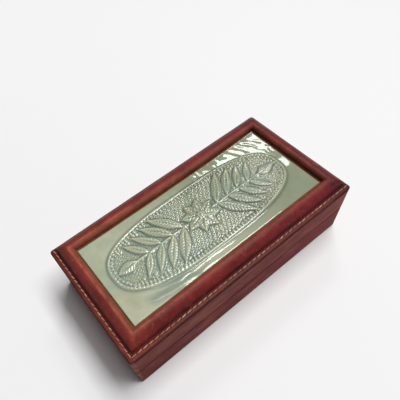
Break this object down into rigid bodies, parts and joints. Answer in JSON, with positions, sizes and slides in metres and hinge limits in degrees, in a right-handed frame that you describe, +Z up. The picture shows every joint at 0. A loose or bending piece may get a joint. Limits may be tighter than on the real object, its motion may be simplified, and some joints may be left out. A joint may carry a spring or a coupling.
{
  "type": "leather box",
  "caption": "Rectangular box for papers and keepsakes, covered in stitched leather, with a padded frame round a glazed relief tile on a lid hinged along the back.",
  "frame": {"origin": "centre of the box's underside, on the surface it stands on", "axes": "+X along the long side, to the right seen from the front; +Y towards the hinges; +Z up"},
  "size_m": [0.25, 0.1337, 0.0735],
  "materials": {
    "leather": "waxed oxblood calf, worn lighter along the ridges",
    "under_leather": "matt brown skiver",
    "wood": "planed, unvarnished",
    "lining": "tan napped cloth on card",
    "glaze": "glossy pale grey-green glaze, pooled in the hollows",
    "brass": "dulled brass"
  },
  "bodies": {
    "tray": {"base_lining_back": "lining", "base_lining_front": "lining", "base_lining_left": "lining", "base_lining_right": "lining", "base_side_band": "leather", "base_wall_back": "wood", "base_wall_front": "wood", "base_wall_left": "wood", "base_wall_right": "wood", "bottom_cover": "under_leather", "bottom_panel": "wood", "floor_pad": "lining", "left_hinge_base_leaf": "brass", "left_hinge_pin": "brass", "right_hinge_base_leaf": "brass", "right_hinge_pin": "brass"},
    "lid": {"ceramic_tile": "glaze", "left_hinge_lid_leaf": "brass", "lid_lining_back": "lining", "lid_lining_front": "lining", "lid_lining_left": "lining", "lid_lining_right": "lining", "lid_lining_top": "lining", "lid_panel": "wood", "lid_side_band": "leather", "lid_wall_back": "wood", "lid_wall_front": "wood", "lid_wall_left": "wood", "lid_wall_right": "wood", "lid_welt": "leather", "moulding_back": "wood", "moulding_front": "wood", "moulding_left": "wood", "moulding_right": "wood", "right_hinge_lid_leaf": "brass", "tile_bed": "wood", "top_cover": "leather"}
  },
  "joints": [
    {"name": "lid_hinge", "type": "hinge", "parent": "tray", "child": "lid", "pos_m": [0, 0.066, 0.0312], "axis": [-1, 0, 0], "range_deg": [0, 75]}
  ]
}
